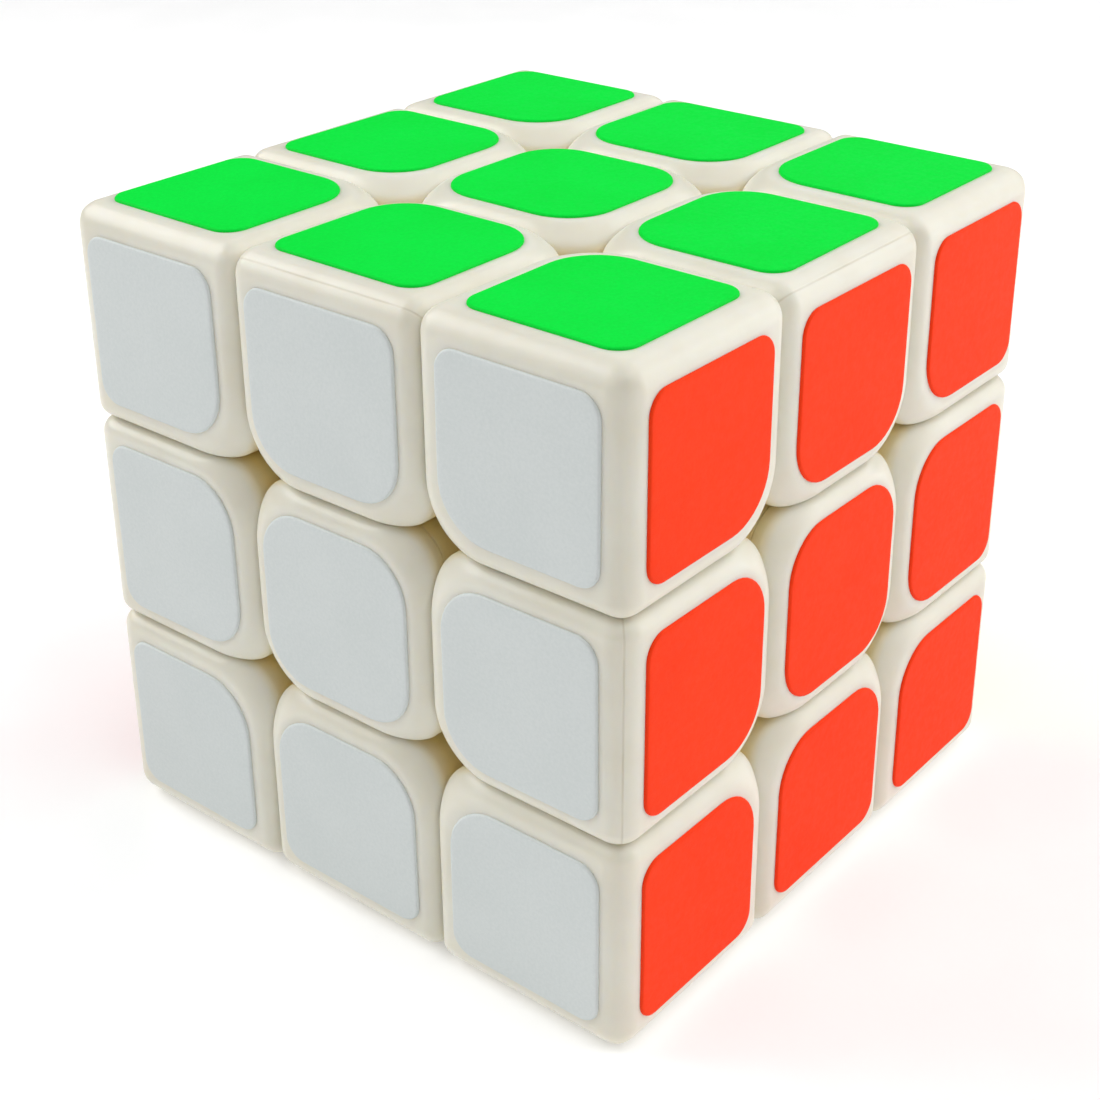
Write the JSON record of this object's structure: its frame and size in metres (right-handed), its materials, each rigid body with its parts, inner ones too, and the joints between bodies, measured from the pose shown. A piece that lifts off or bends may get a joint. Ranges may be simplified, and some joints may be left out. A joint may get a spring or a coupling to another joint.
{
  "type": "twisty puzzle cube",
  "caption": "Twisty puzzle cube whose faces turn on a sprung core, built from separate centre, edge and corner pieces with coloured stickers.",
  "frame": {"origin": "centre of the cube, where the six turning axes meet", "axes": "+Z out of the top face, +X out of the right face, -Y out of the front face"},
  "size_m": [0.0574, 0.0574, 0.0574],
  "materials": {
    "ivory_plastic": "satin",
    "core_plastic": "matte",
    "steel": "satin",
    "spring_steel": "satin",
    "sticker_green": "matte",
    "sticker_orange": "matte",
    "sticker_white": "matte",
    "sticker_yellow": "matte",
    "sticker_blue": "matte",
    "sticker_red": "matte"
  },
  "bodies": {
    "core": {"core": "core_plastic", "screw_top": "steel", "screw_bottom": "steel", "screw_right": "steel", "screw_left": "steel", "screw_back": "steel", "screw_front": "steel", "washer_top": "steel", "washer_bottom": "steel", "washer_right": "steel", "washer_left": "steel", "washer_back": "steel", "washer_front": "steel", "spring_top": "spring_steel", "spring_bottom": "spring_steel", "spring_right": "spring_steel", "spring_left": "spring_steel", "spring_back": "spring_steel", "spring_front": "spring_steel"},
    "centre_top": {"centre_base_top": "ivory_plastic", "centre_cap_top": "ivory_plastic"},
    "centre_bottom": {"centre_base_bottom": "ivory_plastic", "centre_cap_bottom": "ivory_plastic"},
    "centre_right": {"centre_base_right": "ivory_plastic", "centre_cap_right": "ivory_plastic"},
    "centre_left": {"centre_base_left": "ivory_plastic", "centre_cap_left": "ivory_plastic"},
    "centre_back": {"centre_base_back": "ivory_plastic", "centre_cap_back": "ivory_plastic"},
    "centre_front": {"centre_base_front": "ivory_plastic", "centre_cap_front": "ivory_plastic"},
    "edge_top_right": {"edge_top_right": "ivory_plastic"},
    "edge_top_left": {"edge_top_left": "ivory_plastic"},
    "edge_top_back": {"edge_top_back": "ivory_plastic"},
    "edge_top_front": {"edge_top_front": "ivory_plastic"},
    "edge_bottom_right": {"edge_bottom_right": "ivory_plastic"},
    "edge_bottom_left": {"edge_bottom_left": "ivory_plastic"},
    "edge_bottom_back": {"edge_bottom_back": "ivory_plastic"},
    "edge_bottom_front": {"edge_bottom_front": "ivory_plastic"},
    "edge_back_right": {"edge_back_right": "ivory_plastic"},
    "edge_back_left": {"edge_back_left": "ivory_plastic"},
    "edge_front_right": {"edge_front_right": "ivory_plastic"},
    "edge_front_left": {"edge_front_left": "ivory_plastic"},
    "corner_top_front_left": {"corner_shell_top_front_left": "ivory_plastic", "corner_foot_top_front_left": "ivory_plastic"},
    "corner_top_front_right": {"corner_shell_top_front_right": "ivory_plastic", "corner_foot_top_front_right": "ivory_plastic"},
    "corner_top_back_left": {"corner_shell_top_back_left": "ivory_plastic", "corner_foot_top_back_left": "ivory_plastic"},
    "corner_top_back_right": {"corner_shell_top_back_right": "ivory_plastic", "corner_foot_top_back_right": "ivory_plastic"},
    "corner_bottom_front_left": {"corner_shell_bottom_front_left": "ivory_plastic", "corner_foot_bottom_front_left": "ivory_plastic"},
    "corner_bottom_front_right": {"corner_shell_bottom_front_right": "ivory_plastic", "corner_foot_bottom_front_right": "ivory_plastic"},
    "corner_bottom_back_left": {"corner_shell_bottom_back_left": "ivory_plastic", "corner_foot_bottom_back_left": "ivory_plastic"},
    "corner_bottom_back_right": {"corner_shell_bottom_back_right": "ivory_plastic", "corner_foot_bottom_back_right": "ivory_plastic"}
  },
  "joints": [
    {"name": "top_face_turn", "type": "hinge", "parent": "core", "child": "centre_top", "pos_m": [0, 0, 0], "axis": [0, 0, 1], "continuous": true},
    {"name": "bottom_face_turn", "type": "hinge", "parent": "core", "child": "centre_bottom", "pos_m": [0, 0, 0], "axis": [0, 0, -1], "continuous": true},
    {"name": "right_face_turn", "type": "hinge", "parent": "core", "child": "centre_right", "pos_m": [0, 0, 0], "axis": [1, 0, 0], "continuous": true},
    {"name": "left_face_turn", "type": "hinge", "parent": "core", "child": "centre_left", "pos_m": [0, 0, 0], "axis": [-1, 0, 0], "continuous": true},
    {"name": "back_face_turn", "type": "hinge", "parent": "core", "child": "centre_back", "pos_m": [0, 0, 0], "axis": [0, 1, 0], "continuous": true},
    {"name": "front_face_turn", "type": "hinge", "parent": "core", "child": "centre_front", "pos_m": [0, 0, 0], "axis": [0, -1, 0], "continuous": true},
    {"name": "edge_top_right_with_right", "type": "hinge", "parent": "centre_top", "child": "edge_top_right", "pos_m": [0, 0, 0], "axis": [1, 0, 0], "continuous": true},
    {"name": "edge_top_left_with_left", "type": "hinge", "parent": "centre_top", "child": "edge_top_left", "pos_m": [0, 0, 0], "axis": [-1, 0, 0], "continuous": true},
    {"name": "edge_top_back_with_top", "type": "hinge", "parent": "centre_back", "child": "edge_top_back", "pos_m": [0, 0, 0], "axis": [0, 0, 1], "continuous": true},
    {"name": "edge_top_front_with_top", "type": "hinge", "parent": "centre_front", "child": "edge_top_front", "pos_m": [0, 0, 0], "axis": [0, 0, 1], "continuous": true},
    {"name": "edge_bottom_right_with_right", "type": "hinge", "parent": "centre_bottom", "child": "edge_bottom_right", "pos_m": [0, 0, 0], "axis": [1, 0, 0], "continuous": true},
    {"name": "edge_bottom_left_with_left", "type": "hinge", "parent": "centre_bottom", "child": "edge_bottom_left", "pos_m": [0, 0, 0], "axis": [-1, 0, 0], "continuous": true},
    {"name": "edge_bottom_back_with_bottom", "type": "hinge", "parent": "centre_back", "child": "edge_bottom_back", "pos_m": [0, 0, 0], "axis": [0, 0, -1], "continuous": true},
    {"name": "edge_bottom_front_with_bottom", "type": "hinge", "parent": "centre_front", "child": "edge_bottom_front", "pos_m": [0, 0, 0], "axis": [0, 0, -1], "continuous": true},
    {"name": "edge_back_right_with_back", "type": "hinge", "parent": "centre_right", "child": "edge_back_right", "pos_m": [0, 0, 0], "axis": [0, 1, 0], "continuous": true},
    {"name": "edge_back_left_with_back", "type": "hinge", "parent": "centre_left", "child": "edge_back_left", "pos_m": [0, 0, 0], "axis": [0, 1, 0], "continuous": true},
    {"name": "edge_front_right_with_front", "type": "hinge", "parent": "centre_right", "child": "edge_front_right", "pos_m": [0, 0, 0], "axis": [0, -1, 0], "continuous": true},
    {"name": "edge_front_left_with_front", "type": "hinge", "parent": "centre_left", "child": "edge_front_left", "pos_m": [0, 0, 0], "axis": [0, -1, 0], "continuous": true},
    {"name": "corner_top_front_left_with_front", "type": "hinge", "parent": "edge_top_left", "child": "corner_top_front_left", "pos_m": [0, 0, 0], "axis": [0, -1, 0], "continuous": true},
    {"name": "corner_top_front_right_with_front", "type": "hinge", "parent": "edge_top_right", "child": "corner_top_front_right", "pos_m": [0, 0, 0], "axis": [0, -1, 0], "continuous": true},
    {"name": "corner_top_back_left_with_back", "type": "hinge", "parent": "edge_top_left", "child": "corner_top_back_left", "pos_m": [0, 0, 0], "axis": [0, 1, 0], "continuous": true},
    {"name": "corner_top_back_right_with_back", "type": "hinge", "parent": "edge_top_right", "child": "corner_top_back_right", "pos_m": [0, 0, 0], "axis": [0, 1, 0], "continuous": true},
    {"name": "corner_bottom_front_left_with_front", "type": "hinge", "parent": "edge_bottom_left", "child": "corner_bottom_front_left", "pos_m": [0, 0, 0], "axis": [0, -1, 0], "continuous": true},
    {"name": "corner_bottom_front_right_with_front", "type": "hinge", "parent": "edge_bottom_right", "child": "corner_bottom_front_right", "pos_m": [0, 0, 0], "axis": [0, -1, 0], "continuous": true},
    {"name": "corner_bottom_back_left_with_back", "type": "hinge", "parent": "edge_bottom_left", "child": "corner_bottom_back_left", "pos_m": [0, 0, 0], "axis": [0, 1, 0], "continuous": true},
    {"name": "corner_bottom_back_right_with_back", "type": "hinge", "parent": "edge_bottom_right", "child": "corner_bottom_back_right", "pos_m": [0, 0, 0], "axis": [0, 1, 0], "continuous": true}
  ],
  "couplings": [
    {"joint": "edge_top_right_with_right", "follows": "right_face_turn", "ratio": 1},
    {"joint": "edge_top_left_with_left", "follows": "left_face_turn", "ratio": 1},
    {"joint": "edge_top_back_with_top", "follows": "top_face_turn", "ratio": 1},
    {"joint": "edge_top_front_with_top", "follows": "top_face_turn", "ratio": 1},
    {"joint": "edge_bottom_right_with_right", "follows": "right_face_turn", "ratio": 1},
    {"joint": "edge_bottom_left_with_left", "follows": "left_face_turn", "ratio": 1},
    {"joint": "edge_bottom_back_with_bottom", "follows": "bottom_face_turn", "ratio": 1},
    {"joint": "edge_bottom_front_with_bottom", "follows": "bottom_face_turn", "ratio": 1},
    {"joint": "edge_back_right_with_back", "follows": "back_face_turn", "ratio": 1},
    {"joint": "edge_back_left_with_back", "follows": "back_face_turn", "ratio": 1},
    {"joint": "edge_front_right_with_front", "follows": "front_face_turn", "ratio": 1},
    {"joint": "edge_front_left_with_front", "follows": "front_face_turn", "ratio": 1},
    {"joint": "corner_top_front_left_with_front", "follows": "front_face_turn", "ratio": 1},
    {"joint": "corner_top_front_right_with_front", "follows": "front_face_turn", "ratio": 1},
    {"joint": "corner_top_back_left_with_back", "follows": "back_face_turn", "ratio": 1},
    {"joint": "corner_top_back_right_with_back", "follows": "back_face_turn", "ratio": 1},
    {"joint": "corner_bottom_front_left_with_front", "follows": "front_face_turn", "ratio": 1},
    {"joint": "corner_bottom_front_right_with_front", "follows": "front_face_turn", "ratio": 1},
    {"joint": "corner_bottom_back_left_with_back", "follows": "back_face_turn", "ratio": 1},
    {"joint": "corner_bottom_back_right_with_back", "follows": "back_face_turn", "ratio": 1}
  ]
}
